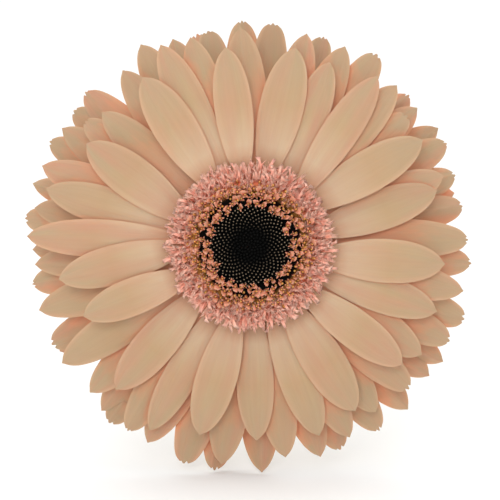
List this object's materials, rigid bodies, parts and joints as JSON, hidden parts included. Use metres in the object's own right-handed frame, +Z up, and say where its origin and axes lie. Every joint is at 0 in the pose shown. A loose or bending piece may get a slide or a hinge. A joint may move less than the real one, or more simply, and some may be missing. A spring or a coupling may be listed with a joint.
{
  "type": "cut gerbera",
  "caption": "Large double gerbera flower with apricot petals, a pink crest and a dark disc, cut with its leafless stem and lying on a flat surface.",
  "frame": {"origin": "bottom centre of the lying flower's bounding box, on the surface it rests on", "axes": "+Z up from the surface; +Y from the head along the stem to its cut end; the face looks along -Y and a little up"},
  "size_m": [0.1146, 0.3946, 0.1151],
  "materials": {
    "petal": "satin",
    "trans_floret": "matte",
    "open_disc_floret": "matte",
    "closed_disc_floret": "matte",
    "bract": "matte",
    "stalk": "matte"
  },
  "bodies": {
    "root": {"receptacle": "stalk", "inner_bracts": "bract", "outer_bracts": "bract", "back_ray_florets": "petal", "middle_ray_floret_01": "petal", "middle_ray_floret_02": "petal", "middle_ray_floret_03": "petal", "middle_ray_floret_04": "petal", "middle_ray_floret_05": "petal", "middle_ray_floret_06": "petal", "middle_ray_floret_07": "petal", "middle_ray_floret_08": "petal", "middle_ray_floret_09": "petal", "middle_ray_floret_10": "petal", "middle_ray_floret_11": "petal", "middle_ray_floret_12": "petal", "middle_ray_floret_13": "petal", "middle_ray_floret_14": "petal", "middle_ray_floret_15": "petal", "middle_ray_floret_16": "petal", "middle_ray_floret_17": "petal", "middle_ray_floret_18": "petal", "middle_ray_floret_19": "petal", "middle_ray_floret_20": "petal", "middle_ray_floret_21": "petal", "middle_ray_floret_22": "petal", "middle_ray_floret_23": "petal", "middle_ray_floret_24": "petal", "middle_ray_floret_25": "petal", "middle_ray_floret_26": "petal", "middle_ray_floret_27": "petal", "middle_ray_floret_28": "petal", "front_ray_floret_01": "petal", "front_ray_floret_02": "petal", "front_ray_floret_03": "petal", "front_ray_floret_04": "petal", "front_ray_floret_05": "petal", "front_ray_floret_06": "petal", "front_ray_floret_07": "petal", "front_ray_floret_08": "petal", "front_ray_floret_09": "petal", "front_ray_floret_10": "petal", "front_ray_floret_11": "petal", "front_ray_floret_12": "petal", "front_ray_floret_13": "petal", "front_ray_floret_14": "petal", "front_ray_floret_15": "petal", "front_ray_floret_16": "petal", "front_ray_floret_17": "petal", "front_ray_floret_18": "petal", "front_ray_floret_19": "petal", "front_ray_floret_20": "petal", "front_ray_floret_21": "petal", "front_ray_floret_22": "petal", "front_ray_floret_23": "petal", "trans_florets": "trans_floret", "open_disc_florets": "open_disc_floret", "closed_disc_florets": "closed_disc_floret", "scape": "stalk"}
  },
  "joints": []
}
